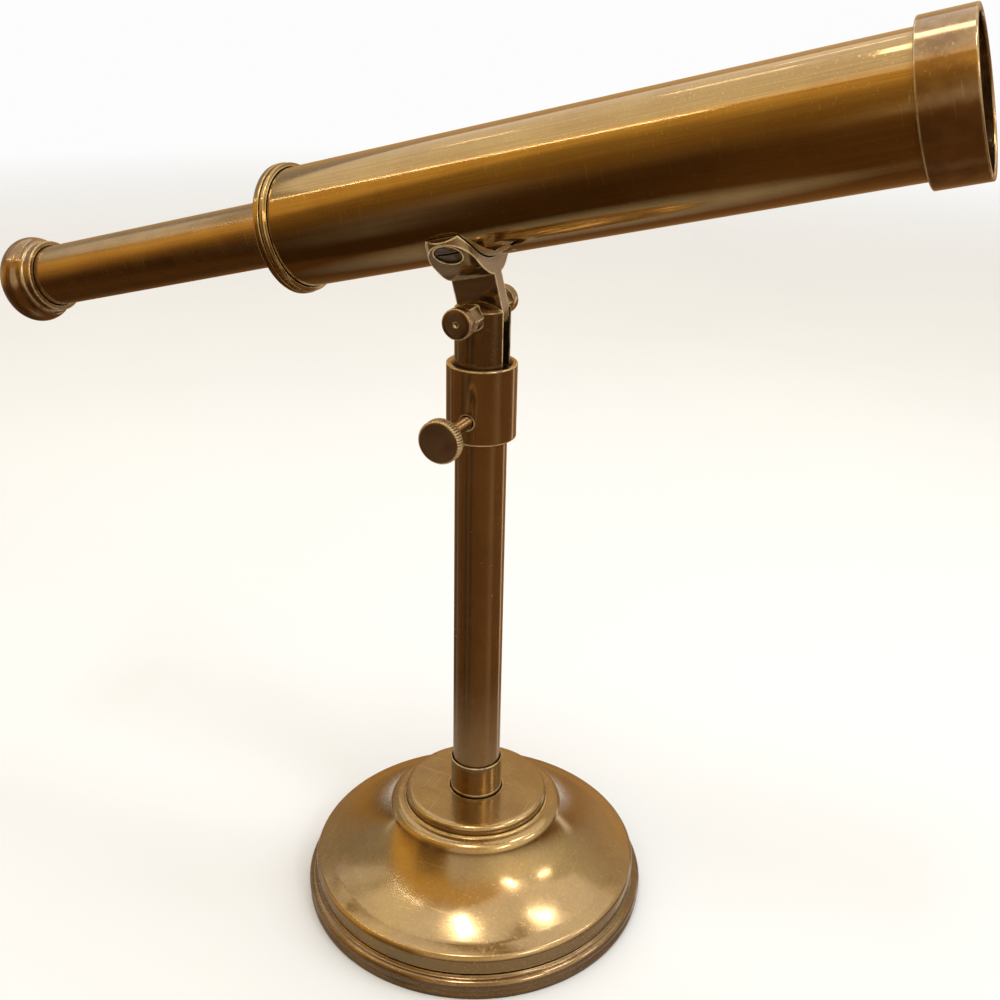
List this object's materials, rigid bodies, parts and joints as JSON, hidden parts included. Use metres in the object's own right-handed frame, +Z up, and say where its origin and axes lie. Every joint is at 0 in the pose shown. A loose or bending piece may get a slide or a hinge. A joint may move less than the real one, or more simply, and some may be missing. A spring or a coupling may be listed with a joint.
{
  "type": "brass telescope",
  "caption": "Table-top brass spyglass on a round weighted stand: tilting, swivelling tube with a sliding draw tube and eyepiece, and a knurled clamp screw.",
  "frame": {"origin": "centre of the base's underside, on the axis of the pole", "axes": "+Z up along the pole, +X the horizontal heading that the objective end points to, -Y the front with the clamp screw"},
  "size_m": [0.3103, 0.1176, 0.2957],
  "materials": {
    "golden_brass": "antiqued golden brass, lacquered and gently worn bright at the edges",
    "antique_brass": "antiqued brass tube, glossy lacquer over an orange-brown patina",
    "dark_brass": "dark brown antiqued brass with bright worn edges",
    "copper_brass": "reddish antiqued brass under lacquer",
    "bright_brass": "plain turned brass, unpolished",
    "steel": "turned steel fastener",
    "cast_iron": "rough cast iron",
    "black_paint": "matt black anti-glare paint on brass",
    "green_felt": "green baize felt",
    "glass": "clear ground and polished lens glass"
  },
  "bodies": {
    "stand": {"base_bell": "golden_brass", "base_foot_ring": "golden_brass", "base_top_disc": "golden_brass", "ballast_weight": "cast_iron", "base_felt": "green_felt", "hold_down_screw": "steel", "hold_down_washer": "steel", "pole_ferrule": "golden_brass", "pole_tube": "dark_brass", "pole_foot_plug": "bright_brass"},
    "head": {"collar_sleeve": "dark_brass", "fork_head": "dark_brass", "pivot_bolt": "copper_brass", "pivot_washer": "bright_brass", "pivot_nut": "copper_brass"},
    "clamp_shank": {"thumb_screw_shank": "dark_brass"},
    "clamp_knob": {"thumb_screw_head": "copper_brass"},
    "tube": {"saddle_bracket": "dark_brass", "saddle_screw_front": "steel", "saddle_screw_back": "steel", "main_tube": "antique_brass", "end_ring": "antique_brass", "draw_guide_bush": "bright_brass", "glare_stop": "black_paint", "objective_cell": "copper_brass", "objective_seat_ring": "black_paint", "objective_flint_lens": "glass", "objective_crown_lens": "glass", "objective_retaining_ring": "bright_brass"},
    "draw": {"draw_tube": "antique_brass", "draw_stop_ring": "bright_brass", "erector_cell": "black_paint", "erector_lens_front": "glass", "erector_lens_rear": "glass", "field_lens": "glass", "field_lens_ring": "black_paint", "eyepiece_cup": "copper_brass", "eye_lens": "glass", "eye_lens_ring": "black_paint"}
  },
  "joints": [
    {"name": "head_swivel", "type": "hinge", "parent": "stand", "child": "head", "pos_m": [0, 0, 0.18], "axis": [0, 0, 1], "continuous": true},
    {"name": "tube_tilt", "type": "hinge", "parent": "head", "child": "tube", "pos_m": [0, 0, 0.2086], "axis": [0, -1, 0], "range_deg": [-75, 60]},
    {"name": "draw_slide", "type": "slide", "parent": "tube", "child": "draw", "axis": [0.9673, 0, 0.2538], "range_m": [-0.005, 0.0995]},
    {"name": "clamp_advance", "type": "slide", "parent": "head", "child": "clamp_shank", "axis": [0, -1, 0], "range_m": [0, 0.0025]},
    {"name": "clamp_turn", "type": "hinge", "parent": "clamp_shank", "child": "clamp_knob", "pos_m": [0, -0.0256, 0.177], "axis": [0, -1, 0], "range_deg": [0, 1260]}
  ],
  "couplings": [
    {"joint": "clamp_advance", "follows": "clamp_turn", "m_per_rad": 0.0001114}
  ]
}
